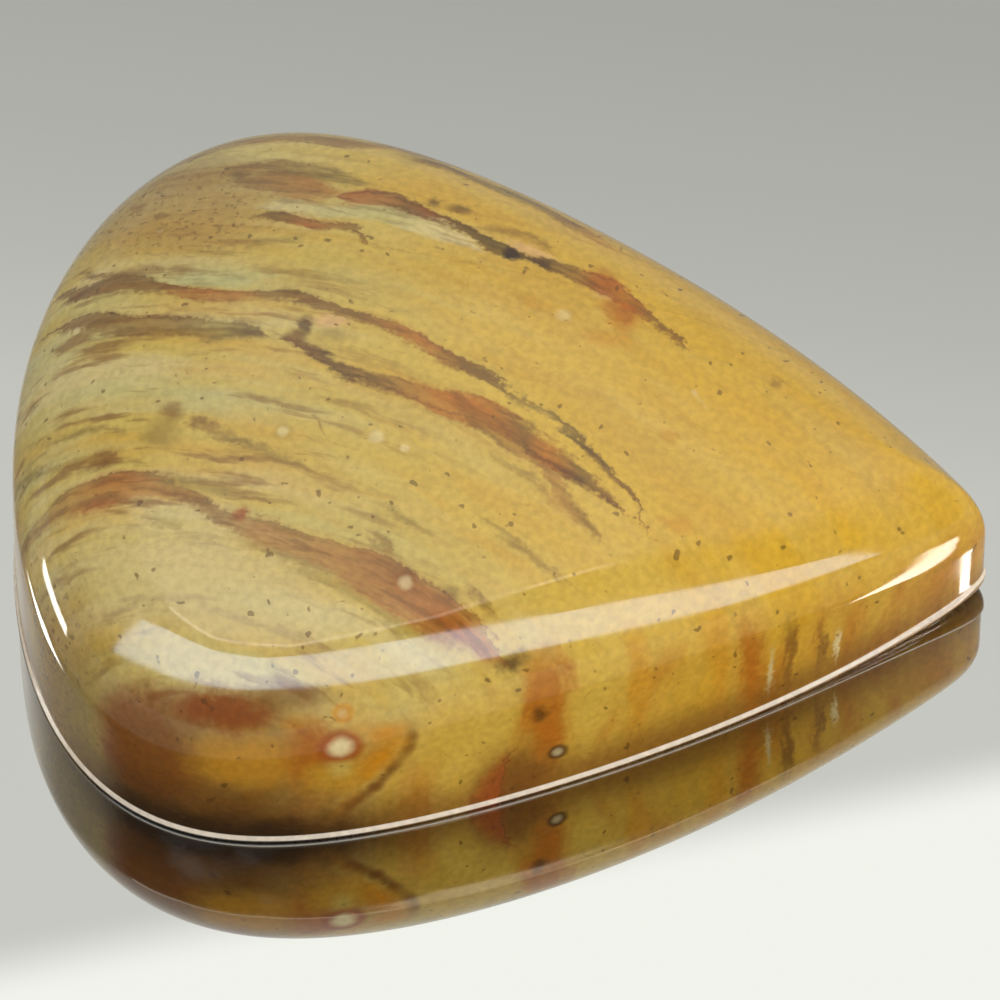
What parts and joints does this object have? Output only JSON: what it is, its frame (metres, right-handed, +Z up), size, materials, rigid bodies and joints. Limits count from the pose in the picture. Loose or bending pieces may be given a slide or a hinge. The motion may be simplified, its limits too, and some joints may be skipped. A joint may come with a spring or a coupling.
{
  "type": "polished mookaite cabochon",
  "caption": "Pear-shaped, high-domed mookaite stone with a polished crown and a flat back, cut to lie on a surface or be set or wire-wrapped as a pendant.",
  "frame": {"origin": "on the flat back, at the middle of the stone's overall length and width", "axes": "+X from the broad end to the pointed tip, +Z up out of the flat back through the crown, +Y to the back side of the picture"},
  "size_m": [0.04, 0.0316, 0.0124],
  "materials": {
    "polished_stone": "polished"
  },
  "bodies": {
    "root": {"cabochon": "polished_stone"}
  },
  "joints": []
}
